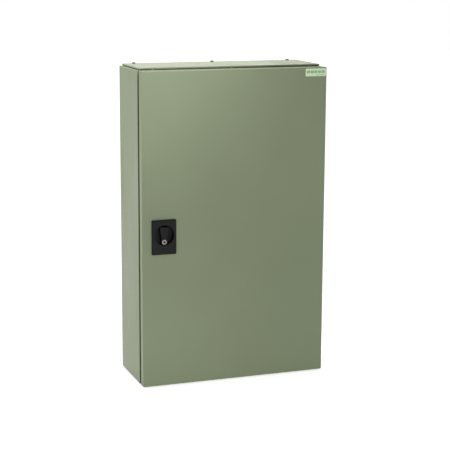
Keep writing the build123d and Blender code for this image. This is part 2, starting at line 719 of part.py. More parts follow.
# ================================================================ earth bar
earth_z = -256.0
earth_x = [-50.0 + 10.0 * step for step in range(11)]
with BuildPart() as earth_bar:
    block(-58, 58, -36, -30, earth_z - 6, earth_z + 6)
    for ex in (-55.0, 55.0):
        rod_y(ex, -30, mplate_front, earth_z, 3)
    for ex in earth_x:
        rod_y(ex, -40, -29, earth_z, 2.5, Mode.SUBTRACT)

with BuildPart() as earth_bar_screws:
    for ex in earth_x:
        rod_y(ex, -40, -36, earth_z, 4)
        rod_y(ex, -36.5, -29, earth_z, 2.5)
        block(ex - 0.6, ex + 0.6, -42, -38.4, earth_z - 5, earth_z + 5, Mode.SUBTRACT)

# ================================================================ controller
face_back = ctrl_front + 3
with BuildPart() as controller_case:
    block(-ctrl_x + 4, ctrl_x - 4, face_back, mplate_front, ctrl_z0 + 4, ctrl_z1 - 4)
    block(-ctrl_x + 6.5, ctrl_x - 6.5, face_back - 1, mplate_front - 2.5, ctrl_z0 + 6.5, ctrl_z1 - 6.5,
          Mode.SUBTRACT)

lamp_x = [-60.0 + 9.0 * step for step in range(5)]
window_x = (-62.0, 12.0)
window_z = (-190.0, -146.0)
with BuildPart() as controller_fascia:
    block(-ctrl_x, ctrl_x, ctrl_front, face_back, ctrl_z0, ctrl_z1)
    fillet(controller_fascia.edges().filter_by(Axis.Y), 3)
    fillet(controller_fascia.faces().sort_by(Axis.Y)[0].edges(), 0.8)
    block(window_x[0], window_x[1], ctrl_front - 1, face_back + 1, window_z[0], window_z[1], Mode.SUBTRACT)
    for lx in lamp_x:
        rod_y(lx, ctrl_front - 1, face_back + 1, button_z, 2.5, Mode.SUBTRACT)
    for bx in button_x:
        rod_y(bx, ctrl_front - 1, face_back + 1, button_z, button_r + 0.3, Mode.SUBTRACT)
    rod_y(knob_x, ctrl_front - 1, face_back + 1, knob_z, 3.0 + run_fit, Mode.SUBTRACT)

with BuildPart() as display_window:
    block(window_x[0], window_x[1], ctrl_front + 0.6, face_back, window_z[0], window_z[1])

with BuildPart() as status_lamps:
    for lx in lamp_x:
        rod_y(lx, ctrl_front - 1.2, face_back + 2, button_z, 2.5)
    fillet(status_lamps.faces().filter_by(Axis.Y).group_by(Axis.Y)[0].edges(), 0.9)


def push_button(bx):
    """A push button with a retaining collar behind the fascia."""
    rod_y(bx, ctrl_front - 3.2, face_back + 6, button_z, button_r)
    rod_y(bx, face_back + 0.4, face_back + 2, button_z, button_r + 1.8)


with BuildPart() as transfer_button:
    push_button(button_x[0])
    chamfer(transfer_button.faces().sort_by(Axis.Y)[0].edges(), 0.6)

with BuildPart() as off_button:
    push_button(button_x[1])
    chamfer(off_button.faces().sort_by(Axis.Y)[0].edges(), 0.6)

with BuildPart() as mode_selector_knob:
    rod_y(knob_x, ctrl_front - 6, ctrl_front - 0.4, knob_z, 12)
    block(knob_x - 3, knob_x + 3, ctrl_front - 15, ctrl_front - 5, knob_z - 11, knob_z + 11)
    rod_y(knob_x, ctrl_front - 1, face_back + 7, knob_z, 3)

# ================================================================ wiring
duct_x = 128.0
duct_w = 24.0
duct_z = 246.0
duct_front = -62.0
with BuildPart() as wiring_ducts:
    for side in (-1, 1):
        x0, x1 = sorted((side * duct_x, side * (duct_x + duct_w)))
        block(x0, x1, duct_front, mplate_front, -duct_z, duct_z)
        block(x0 + 1.5, x1 - 1.5, duct_front - 1, mplate_front - 1.5, -duct_z - 1, duct_z + 1, Mode.SUBTRACT)
    for step in range(37):
        z0 = -duct_z + 12 + 13 * step
        block(-160, 160, duct_front - 1, -34, z0, z0 + 5, Mode.SUBTRACT)

wire_r = 1.2
breaker_wires = [
    [(bx, -52, rail_z - 40), (bx, -52, level), (-duct_x, -52, level)]
    for bx, level in ((breaker_x[0], 152.0), (breaker_x[1], 146.0))
]
terminal_wires = [
    [
        (terminal_pitch * step + 2.85, -44, rail_z - 24),
        (terminal_pitch * step + 2.85, -44, 148 + 3.5 * step),
        (duct_x, -44, 148 + 3.5 * step),
    ]
    for step in range(6)
]
controller_wires = [
    [
        (ctrl_x - 4, -50, -200 + 8 * step), (92, -50, -200 + 8 * step),
        (108, -50, -192 + 8 * step), (duct_x, -50, -192 + 8 * step),
    ]
    for step in range(5)
]
with BuildPart() as control_wires:
    for route in breaker_wires + terminal_wires + controller_wires:
        with BuildLine() as path:
            FilletPolyline(*route, radius=7)
        with BuildSketch(Plane(origin=path.line @ 0, z_dir=path.line % 0)):
            Circle(wire_r)
        sweep(path=path.line)

# ================================================================ export
pieces = {
    "enclosure_body": enclosure_body,
    "rear_panel": rear_panel,
    "top_cover": top_cover,
    "top_cover_gasket": top_cover_gasket,
    "top_cover_screws": top_cover_screws,
    "gland_plate": gland_plate,
    "gland_plate_gasket": gland_plate_gasket,
    "gland_plate_screws": gland_plate_screws,
    "gland_blanking_plugs": gland_blanking_plugs,
    "mounting_plate_studs": mounting_plate_studs,
    "mounting_plate": mounting_plate,
    "mounting_plate_nuts": mounting_plate_nuts,
    "door_panel": door_panel,
    "door_gasket": door_gasket,
    "door_stiffeners": door_stiffeners,
    "document_pocket": document_pocket,
    "name_plate": name_plate,
    "hinge_frame_leaves": hinge_frame_leaves,
    "hinge_door_leaves": hinge_door_leaves,
    "hinge_pins": hinge_pins,
    "lock_escutcheon": lock_escutcheon,
    "lock_barrel_nut": lock_barrel_nut,
    "wing_handle": wing_handle,
    "key_cylinder": key_cylinder,
    "lock_cam": lock_cam,
    "lock_cam_nut": lock_cam_nut,
    "pole_housing_rear": pole_housing_rear,
    "pole_housing_front": pole_housing_front,
    "housing_screws": housing_screws,
    "supply_1_contacts": supply_1_contacts,
    "supply_2_contacts": supply_2_contacts,
    "load_contacts": load_contacts,
    "terminal_bolts": terminal_bolts,
    "phase_barriers": phase_barriers,
    "main_shaft": main_shaft,
    "rotor_hubs": rotor_hubs,
    "moving_blades": moving_blades,
    "shaft_bushes": shaft_bushes,
    "shaft_gear": shaft_gear,
    "motor_pinion": motor_pinion,
    "position_pointer": position_pointer,
    "drive_frame": drive_frame,
    "gear_motor": gear_motor,
    "drive_cover": drive_cover,
    "din_rail": din_rail,
    "control_breakers": control_breakers,
    "supply_1_breaker_toggle": supply_1_breaker_toggle,
    "supply_2_breaker_toggle": supply_2_breaker_toggle,
    "terminal_blocks": terminal_blocks,
    "earth_bar": earth_bar,
    "earth_bar_screws": earth_bar_screws,
    "controller_case": controller_case,
    "controller_fascia": controller_fascia,
    "display_window": display_window,
    "status_lamps": status_lamps,
    "transfer_button": transfer_button,
    "off_button": off_button,
    "mode_selector_knob": mode_selector_knob,
    "wiring_ducts": wiring_ducts,
    "control_wires": control_wires,
}
for node, piece in pieces.items():
    piece.part.label = node
    export_step(piece.part, f"parts/{node}.step")
    print(node, len(piece.part.solids()), round(piece.part.volume))
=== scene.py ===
import math
import random
import bpy
import bmesh
from mathutils import Matrix, Vector


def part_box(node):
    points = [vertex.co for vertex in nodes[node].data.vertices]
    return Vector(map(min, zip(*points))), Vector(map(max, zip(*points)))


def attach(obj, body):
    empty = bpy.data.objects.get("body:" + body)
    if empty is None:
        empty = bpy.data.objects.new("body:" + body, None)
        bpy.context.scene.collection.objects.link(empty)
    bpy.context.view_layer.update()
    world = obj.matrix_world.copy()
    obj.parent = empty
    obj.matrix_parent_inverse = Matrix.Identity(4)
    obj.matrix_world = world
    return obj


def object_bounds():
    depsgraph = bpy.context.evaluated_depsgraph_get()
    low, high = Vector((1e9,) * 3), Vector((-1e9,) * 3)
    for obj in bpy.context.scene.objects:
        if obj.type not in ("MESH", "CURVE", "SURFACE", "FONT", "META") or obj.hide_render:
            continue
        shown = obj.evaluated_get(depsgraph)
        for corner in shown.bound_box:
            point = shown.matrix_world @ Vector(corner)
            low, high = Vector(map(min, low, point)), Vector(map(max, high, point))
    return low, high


# An automatic transfer switch in a wall enclosure. The scene is in metres. Shapes are worked out in
# millimetres and scaled when they become pieces.
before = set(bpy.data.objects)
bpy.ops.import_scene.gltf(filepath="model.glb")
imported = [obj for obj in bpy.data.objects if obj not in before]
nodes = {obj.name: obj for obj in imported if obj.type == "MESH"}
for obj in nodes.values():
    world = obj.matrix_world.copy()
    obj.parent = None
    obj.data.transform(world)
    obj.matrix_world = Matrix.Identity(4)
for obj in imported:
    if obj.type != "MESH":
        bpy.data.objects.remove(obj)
cad_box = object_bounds()
MM = 0.001
scene = bpy.context.scene
scene.view_settings.view_transform = "Standard"
scene.view_settings.look = "None"


class Span:
    """A box in millimetres, from its lowest and highest corners in metres."""

    def __init__(self, low, high):
        self.x0, self.y0, self.z0 = (v / MM for v in low)
        self.x1, self.y1, self.z1 = (v / MM for v in high)
        self.cx = (self.x0 + self.x1) / 2
        self.cy = (self.y0 + self.y1) / 2
        self.cz = (self.z0 + self.z1) / 2


def span(node):
    """The box of a whole CAD node."""
    return Span(*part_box(node))


# ------------------------------------------------------------------ materials
def srgb(r, g, b):
    """Linear colour from 8-bit screen values."""
    out = []
    for v in (r, g, b):
        v = v / 255
        out.append(v / 12.92 if v <= 0.04045 else ((v + 0.055) / 1.055) ** 2.4)
    return (*out, 1.0)


def scaled(c, k):
    """A colour made lighter or darker."""
    return (min(c[0] * k, 1), min(c[1] * k, 1), min(c[2] * k, 1), 1.0)


class Nodes:
    """A short way to build a node tree."""

    def __init__(self, name):
        self.mat = bpy.data.materials.new(name)
        self.mat.use_nodes = True
        self.tree = self.mat.node_tree
        self.bsdf = self.tree.nodes["Principled BSDF"]
        self.coord = self.tree.nodes.new("ShaderNodeTexCoord")

    def link(self, a, b):
        self.tree.links.new(a, b)

    def place(self, stretch):
        """Object coordinates, stretched along the axes if asked."""
        if not stretch:
            return self.coord.outputs["Object"]
        m = self.tree.nodes.new("ShaderNodeMapping")
        m.inputs["Scale"].default_value = stretch
        self.link(self.coord.outputs["Object"], m.inputs["Vector"])
        return m.outputs["Vector"]

    def noise(self, scale, detail, rough, stretch=None):
        n = self.tree.nodes.new("ShaderNodeTexNoise")
        n.inputs["Scale"].default_value = scale
        n.inputs["Detail"].default_value = detail
        n.inputs["Roughness"].default_value = rough
        self.link(self.place(stretch), n.inputs["Vector"])
        return n.outputs["Fac"]

    def voronoi(self, scale):
        n = self.tree.nodes.new("ShaderNodeTexVoronoi")
        n.inputs["Scale"].default_value = scale
        self.link(self.coord.outputs["Object"], n.inputs["Vector"])
        return n.outputs["Distance"]

    def ramp(self, fac, stops, hard=False):
        n = self.tree.nodes.new("ShaderNodeValToRGB")
        els = n.color_ramp.elements
        els[0].position, els[0].color = stops[0]
        els[1].position, els[1].color = stops[-1]
        for pos, col in stops[1:-1]:
            e = els.new(pos)
            e.color = col
        if hard:
            n.color_ramp.interpolation = "CONSTANT"
        self.link(fac, n.inputs["Fac"])
        return n.outputs["Color"]

    def mottled(self, fac, base, darker, lighter, low=0.3, high=0.7):
        """A colour that drifts between a darker and a lighter shade of itself."""
        return self.ramp(fac, [(low, scaled(base, darker)), (high, scaled(base, lighter))])

    def bands(self, fac, colours):
        """Equal bands of plain colours."""
        return self.ramp(fac, [(i / len(colours), c) for i, c in enumerate(colours)], hard=True)

    def per_strand(self):
        """A different value for each loose part of a mesh."""
        geo = self.tree.nodes.new("ShaderNodeNewGeometry")
        return geo.outputs["Random Per Island"]

    def along_x(self, x0, x1):
        """0 to 1 from left to right between two places on the object."""
        xyz = self.tree.nodes.new("ShaderNodeSeparateXYZ")
        self.link(self.coord.outputs["Object"], xyz.inputs["Vector"])
        return self.spread(xyz.outputs["X"], 0.0, 1.0, x0, x1)

    def spread(self, fac, lo, hi, from_lo=0.3, from_hi=0.7):
        """A value stretched to a new range, and held at its ends."""
        n = self.tree.nodes.new("ShaderNodeMapRange")
        n.inputs["From Min"].default_value = from_lo
        n.inputs["From Max"].default_value = from_hi
        n.inputs["To Min"].default_value = lo
        n.inputs["To Max"].default_value = hi
        self.link(fac, n.inputs["Value"])
        return n.outputs["Result"]

    def product(self, a, b):
        """A socket times a socket or a number."""
        n = self.tree.nodes.new("ShaderNodeMath")
        n.operation = "MULTIPLY"
        self.link(a, n.inputs[0])
        if isinstance(b, float):
            n.inputs[1].default_value = b
        else:
            self.link(b, n.inputs[1])
        return n.outputs[0]

    def mix(self, fac, a, b):
        """Colour a where the factor is 0, and b where it is 1."""
        n = self.tree.nodes.new("ShaderNodeMix")
        n.data_type = "RGBA"
        colour_a, colour_b, result = n.inputs[6], n.inputs[7], n.outputs[2]
        self.link(fac, n.inputs["Factor"])
        self.link(a, colour_a)
        if isinstance(b, tuple):
            colour_b.default_value = b
        else:
            self.link(b, colour_b)
        return result

    def edge(self, radius):
        """0 on flats and 1 along sharp edges."""
        bev = self.tree.nodes.new("ShaderNodeBevel")
        bev.samples = 4
        bev.inputs["Radius"].default_value = radius
        geo = self.tree.nodes.new("ShaderNodeNewGeometry")
        dot = self.tree.nodes.new("ShaderNodeVectorMath")
        dot.operation = "DOT_PRODUCT"
        self.link(bev.outputs["Normal"], dot.inputs[0])
        self.link(geo.outputs["Normal"], dot.inputs[1])
        return self.spread(dot.outputs["Value"], 1.0, 0.0, 0.75, 0.985)

    def bump(self, height, distance, strength=1.0, under=None):
        n = self.tree.nodes.new("ShaderNodeBump")
        n.inputs["Distance"].default_value = distance
        n.inputs["Strength"].default_value = strength
        self.link(height, n.inputs["Height"])
        if under is not None:
            self.link(under, n.inputs["Normal"])
        return n.outputs["Normal"]


def painted(name, base):
    """Powder-coated sheet steel: orange peel, faint mottling, thinner paint on the folds."""
    m = Nodes(name)
    satin = 0.42
    peel_depth = 0.05 * MM
    wave_depth = 0.4 * MM
    body = m.mottled(m.noise(5, 4, 0.55), base, 0.96, 1.04)
    speck = m.spread(m.noise(700, 2, 0.6), 0.0, 1.0, 0.62, 0.8)
    body = m.mix(m.product(speck, 0.16), body, scaled(base, 0.72))
    wear = m.product(m.edge(1.2 * MM), m.spread(m.noise(60, 4, 0.6), 0.25, 0.9))
    body = m.mix(m.product(wear, 0.6), body, scaled(base, 1.15))
    m.link(body, m.bsdf.inputs["Base Color"])
    smear = m.noise(14, 5, 0.6, stretch=(1, 1, 0.35))
    m.link(m.spread(smear, satin - 0.05, satin + 0.07), m.bsdf.inputs["Roughness"])
    fine = m.bump(m.noise(420, 3, 0.5), peel_depth)
    wave = m.bump(m.noise(9, 2, 0.4), wave_depth, 0.35, fine)
    m.link(wave, m.bsdf.inputs["Normal"])
    m.bsdf.inputs["Specular IOR Level"].default_value = 0.32
    return m.mat


def plastic(name, base, rough, grain=500, depth=0.02, variation=0.08, edge_tint=1.5, wear=0.35,
            gloss=0.5, colours=None):
    """Moulded plastic: fine spark-erosion grain, its depth in millimetres, and polished edges."""
    m = Nodes(name)
    cloud = m.noise(22, 4, 0.6)
    if colours:
        body = m.mix(m.spread(cloud, 0.0, 0.12), colours(m), (0.0, 0.0, 0.0, 1.0))
    else:
        body = m.mottled(cloud, base, 1 - variation, 1 + variation)
    rub = m.product(m.edge(0.6 * MM), m.spread(m.noise(120, 3, 0.6), 0.2, 1.0))
    body = m.mix(m.product(rub, wear), body, scaled(base, edge_tint))
    m.link(body, m.bsdf.inputs["Base Color"])
    m.bsdf.inputs["Specular IOR Level"].default_value = gloss
    m.link(m.spread(m.noise(45, 4, 0.6), rough - 0.06, rough + 0.08), m.bsdf.inputs["Roughness"])
    m.link(m.bump(m.voronoi(grain), depth * MM), m.bsdf.inputs["Normal"])
    return m.mat


def metal(name, base, rough, brushed=(1, 1, 1), grain=240, depth=0.012, tint=0.12, spangle=0.0):
    """Bare or plated metal: brushing, its depth in millimetres, mottled tarnish and bright edges."""
    m = Nodes(name)
    body = m.mottled(m.noise(30, 4, 0.6), base, 1 - tint, 1 + tint, 0.28, 0.72)
    if spangle:
        cells = m.spread(m.voronoi(70), 0.0, 1.0, 0.1, 0.7)
        body = m.mix(m.product(cells, spangle), body, scaled(base, 1.25))
    body = m.mix(m.product(m.edge(0.5 * MM), 0.5), body, scaled(base, 1.3))
    m.link(body, m.bsdf.inputs["Base Color"])
    m.bsdf.inputs["Metallic"].default_value = 1.0
    hair = m.noise(grain, 4, 0.6, stretch=brushed)
    m.link(m.spread(hair, rough - 0.08, rough + 0.12), m.bsdf.inputs["Roughness"])
    m.link(m.bump(hair, depth * MM), m.bsdf.inputs["Normal"])
    return m.mat


def rubber(name, base, rough=0.78, pores=900, depth=0.06):
    """Foam or rubber: open pores, their depth in millimetres, and dusty colour."""
    m = Nodes(name)
    body = m.mottled(m.noise(40, 4, 0.6), base, 0.8, 1.35, 0.3, 0.75)
    m.link(body, m.bsdf.inputs["Base Color"])
    m.link(m.spread(m.noise(90, 3, 0.6), rough - 0.08, rough + 0.08), m.bsdf.inputs["Roughness"])
    m.link(m.bump(m.voronoi(pores), depth * MM), m.bsdf.inputs["Normal"])
    return m.mat


def print_ink(name, base, rough=0.5, grain=700):
    """A thin even layer of printed ink."""
    return plastic(name, base, rough, grain, depth=0.004)


def strand_colours(m):
    """Sheath colours, one for each wire."""
    return m.bands(m.per_strand(), [
        srgb(24, 24, 26), srgb(28, 52, 108), srgb(30, 30, 32), srgb(92, 56, 34), srgb(96, 98, 102),
        srgb(34, 60, 122), srgb(140, 32, 28),
    ])


def lamp_colours(m):
    """Two green, one amber and two red lenses across the row of lamps."""
    row = span("status_lamps")
    across = m.along_x(row.x0 * MM, row.x1 * MM)
    green = srgb(30, 150, 62)
    amber = srgb(214, 140, 22)
    red = srgb(176, 34, 26)
    return m.bands(across, [green, green, amber, red, red])


PAINT = srgb(113, 123, 96)
mats = {
    "body_paint": painted("body_paint", PAINT),
    "door_paint": painted("door_paint", PAINT),
    "zinc": metal("zinc", srgb(176, 178, 176), 0.4, (1, 1, 6), 180, depth=0.01, tint=0.08, spangle=0.35),
    "steel_dark": metal("steel_dark", srgb(92, 92, 90), 0.42),
    "steel_bolt": metal("steel_bolt", srgb(172, 174, 174), 0.34, grain=60, depth=0.002, tint=0.06),
    "steel_ground": metal("steel_ground", srgb(168, 168, 166), 0.26, (8, 1, 1)),
    "lock_black": plastic("lock_black", srgb(8, 8, 7), 0.52, 650, variation=0.1, edge_tint=3.0, wear=0.5,
                          gloss=0.2),
    "lock_chrome": metal("lock_chrome", srgb(150, 150, 147), 0.36),
    "key_steel": metal("key_steel", srgb(40, 40, 38), 0.5),
    "gasket": rubber("gasket", srgb(26, 27, 27)),
    "plug_rubber": rubber("plug_rubber", srgb(62, 64, 64), 0.7, 500, depth=0.02),
    "label": plastic("label", srgb(185, 202, 169), 0.36, 900, depth=0.006, variation=0.03, edge_tint=1.05,
                     wear=0.1),
    "label_ink": print_ink("label_ink", srgb(114, 155, 110), 0.4, 900),
    "paper": plastic("paper", srgb(214, 212, 202), 0.7, 260, depth=0.008, variation=0.03, edge_tint=1.03,
                     wear=0.1, gloss=0.2),
    "pocket": plastic("pocket", srgb(196, 196, 190), 0.46, 420, variation=0.04, edge_tint=1.1, wear=0.2),
    "black": plastic("black", srgb(34, 35, 37), 0.52, 420, depth=0.03, variation=0.12, edge_tint=1.9,
                     wear=0.4),
    "copper": metal("copper", srgb(204, 152, 116), 0.32, (1, 1, 5)),
    "red_board": plastic("red_board", srgb(126, 40, 30), 0.5, 260, depth=0.03),
    "bronze": metal("bronze", srgb(170, 122, 70), 0.36),
    "pointer": plastic("pointer", srgb(196, 38, 28), 0.34),
    "motor": metal("motor", srgb(150, 152, 156), 0.38, (6, 1, 1)),
    "cover_grey": plastic("cover_grey", srgb(138, 142, 146), 0.5, 480, depth=0.03, variation=0.05,
                          edge_tint=1.2, wear=0.3),
    "white": plastic("white", srgb(212, 212, 206), 0.42, 520, variation=0.04, edge_tint=1.08, wear=0.2),
    "terminal": plastic("terminal", srgb(158, 156, 142), 0.5, 520, variation=0.06, edge_tint=1.2, wear=0.3),
    "brass": metal("brass", srgb(204, 164, 92), 0.32, (6, 1, 1)),
    "glass": plastic("glass", srgb(120, 138, 104), 0.12, 900, depth=0.002, variation=0.05, edge_tint=1.1,
                     wear=0.1),
    "lamp": plastic("lamp", srgb(150, 34, 26), 0.2, colours=lamp_colours),
    "green_cap": plastic("green_cap", srgb(34, 120, 62), 0.34),
    "red_cap": plastic("red_cap", srgb(176, 34, 28), 0.34),
    "duct": plastic("duct", srgb(150, 156, 162), 0.55, 420, variation=0.04, edge_tint=1.15, wear=0.25),
    "wire": plastic("wire", srgb(40, 42, 48), 0.4, 700, depth=0.01, colours=strand_colours),
    "ink": print_ink("ink", srgb(22, 22, 24)),
    "ink_white": print_ink("ink_white", srgb(226, 226, 222)),
    "ink_green": print_ink("ink_green", srgb(58, 132, 62)),
}

NODE_MATERIAL = {
    "body_paint": ("enclosure_body", "rear_panel", "top_cover"),
    "door_paint": ("door_panel", "door_stiffeners"),
    "zinc": (
        "mounting_plate", "mounting_plate_studs", "mounting_plate_nuts", "gland_plate", "drive_frame",
        "din_rail", "hinge_frame_leaves", "hinge_door_leaves", "lock_cam", "lock_cam_nut", "lock_barrel_nut",
    ),
    "steel_dark": (
        "top_cover_screws", "gland_plate_screws", "housing_screws", "earth_bar_screws", "hinge_pins",
    ),
    "steel_bolt": ("terminal_bolts",),
    "steel_ground": ("main_shaft", "shaft_gear", "motor_pinion"),
    "lock_black": ("lock_escutcheon", "wing_handle"),
    "lock_chrome": ("key_cylinder",),
    "gasket": ("top_cover_gasket", "gland_plate_gasket", "door_gasket"),
    "plug_rubber": ("gland_blanking_plugs",),
    "label": ("name_plate",),
    "pocket": ("document_pocket",),
    "black": (
        "pole_housing_rear", "pole_housing_front", "controller_case", "controller_fascia",
        "mode_selector_knob", "supply_1_breaker_toggle", "supply_2_breaker_toggle",
    ),
    "copper": ("supply_1_contacts", "supply_2_contacts", "load_contacts", "moving_blades"),
    "red_board": ("phase_barriers", "rotor_hubs"),
    "bronze": ("shaft_bushes",),
    "pointer": ("position_pointer",),
    "motor": ("gear_motor",),
    "cover_grey": ("drive_cover",),
    "white": ("control_breakers",),
    "terminal": ("terminal_blocks",),
    "brass": ("earth_bar",),
    "glass": ("display_window",),
    "lamp": ("status_lamps",),
    "green_cap": ("transfer_button",),
    "red_cap": ("off_button",),
    "duct": ("wiring_ducts",),
    "wire": ("control_wires",),
}

# Width of the softened edges in millimetres, where it differs from the usual one.
USUAL_EDGE = 0.2
SOFT_EDGE = {
    "enclosure_body": 0.3, "door_panel": 0.6, "lock_escutcheon": 0.3, "wing_handle": 0.35,
    "pole_housing_front": 0.4, "pole_housing_rear": 0.4, "drive_cover": 0.3, "controller_fascia": 0.25,
    "control_breakers": 0.4, "mode_selector_knob": 0.5, "name_plate": 0.15,
}


def dress(node, material):
    """Gives a CAD node its material and a small softened edge."""
    o = nodes[node]
    o.data.materials.clear()
    o.data.materials.append(mats[material])
    weld = o.modifiers.new("weld", "WELD")
    weld.merge_threshold = 1e-6
    bevel = o.modifiers.new("bevel", "BEVEL")
    bevel.width = SOFT_EDGE.get(node, USUAL_EDGE) * MM
    bevel.segments = 2
    bevel.limit_method = "ANGLE"
    bevel.angle_limit = math.radians(40)
    bevel.use_clamp_overlap = True
    normals = o.modifiers.new("normals", "WEIGHTED_NORMAL")
    normals.keep_sharp = True


for material, members in NODE_MATERIAL.items():
    for node in members:
        dress(node, material)

# ------------------------------------------------------------------ camera
# In degrees: the look down, the lean, and the heading, counted to the left from +Y.
camera_down = 11.26
camera_lean = -0.26
camera_heading = -19.81
cam_data = bpy.data.cameras.new("camera")
cam_data.sensor_width = 36.0
cam_data.lens = 106.27
cam_data.clip_end = 50
cam = bpy.data.objects.new("camera", cam_data)
scene.collection.objects.link(cam)
cam.location = (-0.93367, -2.68191, 0.53972)
cam.rotation_euler = [math.radians(a) for a in (90 - camera_down, camera_lean, camera_heading)]
scene.camera = cam


# ------------------------------------------------------------------ shapes, in millimetres
def circle(x, y, z, r, steps=28):
    """A ring of points facing the front."""
    return [
        (x + r * math.cos(math.tau * i / steps), y, z + r * math.sin(math.tau * i / steps))
        for i in range(steps)
    ]


def rounded(x0, x1, y, z0, z1, r, inset=0.0):
    """A rectangle with round corners, facing the front."""
    steps = 4
    points = []
    for cx, cz, start in (
        (x1 - r, z1 - r, 0), (x0 + r, z1 - r, 90), (x0 + r, z0 + r, 180), (x1 - r, z0 + r, 270),
    ):
        for i in range(steps + 1):
            a = math.radians(start + 90 * i / steps)
            points.append((cx + (r - inset) * math.cos(a), y, cz + (r - inset) * math.sin(a)))
    return points


def loft(bm, rings, wrap=False):
    """Skins rings of points in order: capped at both ends, or wrapped round into a closed band."""
    rows = [[bm.verts.new(p) for p in ring] for ring in rings]
    if wrap:
        rows.append(rows[0])
    for a, b in zip(rows, rows[1:]):
        for i in range(len(a)):
            j = (i + 1) % len(a)
            bm.faces.new((a[i], a[j], b[j], b[i]))
    if not wrap:
        bm.faces.new(rows[0])
        bm.faces.new(rows[-1])


def tablet(bm, x0, x1, z0, z1, back, front, r, soft=0.2):
    """A flat tablet with round corners and a softened front edge."""
    step = math.copysign(soft, back - front)
    loft(bm, [
        rounded(x0, x1, back, z0, z1, r),
        rounded(x0, x1, front + step, z0, z1, r),
        rounded(x0, x1, front, z0, z1, r, min(soft, r * 0.9)),
    ])


def disc(bm, x, z, r, back, front, soft):
    """A round tablet."""
    step = math.copysign(soft, back - front)
    loft(bm, [circle(x, back, z, r), circle(x, front + step, z, r), circle(x, front, z, r - soft)])


def collar(bm, x, z, r_in, r_out, back, front, soft):
    """A raised ring with rounded shoulders."""
    step = math.copysign(soft, back - front)
    loft(bm, [
        circle(x, back, z, r_out), circle(x, front + step, z, r_out), circle(x, front, z, r_out - soft),
        circle(x, front, z, r_in + soft * 0.5), circle(x, front + step, z, r_in), circle(x, back, z, r_in),
    ], wrap=True)


def surround(bm, window, width, back, front):
    """A raised frame with sloping sides round a rectangular window."""
    r = 2.0
    x0, x1, z0, z1 = window.x0, window.x1, window.z0, window.z1
    crest = width * 0.45
    outside = (x0 - width, x1 + width), (z0 - width, z1 + width)
    loft(bm, [
        rounded(*outside[0], back, *outside[1], r + width),
        rounded(*outside[0], front + 0.5, *outside[1], r + width),
        rounded(x0 - crest, x1 + crest, front, z0 - crest, z1 + crest, r + width * 0.4),
        rounded(x0, x1, front + 0.7, z0, z1, r),
        rounded(x0, x1, back, z0, z1, r),
    ], wrap=True)


def half_moon(x, y, z, r, slot, turn, inset=0.0):
    """One side of a slotted screw head. The slot is given as half its width."""
    steps = 10
    lean = math.asin(slot / r)
    points = []
    for i in range(steps + 1):
        a = lean + (math.pi - 2 * lean) * i / steps
        points.append(((r - inset) * math.cos(a), max((r - inset) * math.sin(a), slot)))
    c, s = math.cos(turn), math.sin(turn)
    return [(x + px * c - pz * s, y, z + px * s + pz * c) for px, pz in points]


def screw(bm, x, z, r, back, front, turn):
    """A slotted screw head, with its slot turned by an angle in radians."""
    slot = r * 0.14
    slot_floor = back + (front - back) * 0.4
    shoulder = front + (back - front) * 0.25
    disc(bm, x, z, r, back, slot_floor, 0.05)
    for side in (turn, turn + math.pi):
        loft(bm, [
            half_moon(x, slot_floor, z, r, slot, side),
            half_moon(x, shoulder, z, r, slot, side),
            half_moon(x, front, z, r, slot, side, r * 0.12),
        ])


PRINT = 0.12
SCREEN_PRINT = 0.06


def ink(bm, x0, x1, z0, z1, face, thick=PRINT):
    """A printed bar on a face that looks to the front."""
    tablet(bm, x0, x1, z0, z1, face, face - thick, 0.1, 0.03)


def numeral(bm, count, x, z, face, tall=6.0, pen=0.9):
    """I for 1, II for 2, and a narrow 0 for none."""
    if count:
        for i in range(count):
            cx = x + (i - (count - 1) / 2) * 2.4 * pen
            ink(bm, cx - pen / 2, cx + pen / 2, z - tall / 2, z + tall / 2, face)
        return
    half = tall * 0.3
    outline = [(face, 0.0), (face - PRINT, 0.0), (face - PRINT, pen), (face, pen)]
    loft(bm, [
        rounded(x - half, x + half, y, z - tall / 2, z + tall / 2, half, inset) for y, inset in outline
    ], wrap=True)


def solids_of(node):
    """The boxes of the separate solids of a CAD node, from left to right."""
    o = nodes[node]
    bm = bmesh.new()
    bm.from_mesh(o.data)
    bmesh.ops.remove_doubles(bm, verts=bm.verts, dist=1e-6)
    left = set(bm.verts)
    boxes = []
    while left:
        group = [left.pop()]
        for v in group:
            for e in v.link_edges:
                other = e.other_vert(v)
                if other in left:
                    left.discard(other)
                    group.append(other)
        places = [o.matrix_world @ v.co for v in group]
        boxes.append(Span(*([pick(p[i] for p in places) for i in range(3)] for pick in (min, max))))
    bm.free()
    return sorted(boxes, key=lambda box: box.cx)


def add_piece(name, bm, material, body):
    """Turns a mesh in millimetres into a shown piece that rides on a body."""
    bmesh.ops.recalc_face_normals(bm, faces=bm.faces)
    for e in bm.edges:
        e.smooth = e.calc_face_angle(math.pi) < math.radians(32)
    for f in bm.faces:
        f.smooth = True
    bm.transform(Matrix.Scale(MM, 4))
    mesh = bpy.data.meshes.new(name)
    bm.to_mesh(mesh)
    bm.free()
    mesh.materials.append(mats[material])
    o = bpy.data.objects.new(name, mesh)
    scene.collection.objects.link(o)
    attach(o, body)


def add_wires(name, routes, radius, body):
    """Insulated wires along smooth curves through the given points, in millimetres."""
    data = bpy.data.curves.new(name, "CURVE")
    data.dimensions = "3D"
    data.bevel_depth = radius * MM
    data.bevel_resolution = 3
    data.resolution_u = 6
    data.use_fill_caps = True
    for route in routes:
        line = data.splines.new("NURBS")
        line.points.add(len(route) - 1)
        for point, place in zip(line.points, route):
            point.co = (place[0] * MM, place[1] * MM, place[2] * MM, 1)
        line.order_u = 3
        line.use_endpoint_u = True
    data.materials.append(mats["wire"])
    o = bpy.data.objects.new(name, data)
    scene.collection.objects.link(o)
    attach(o, body)


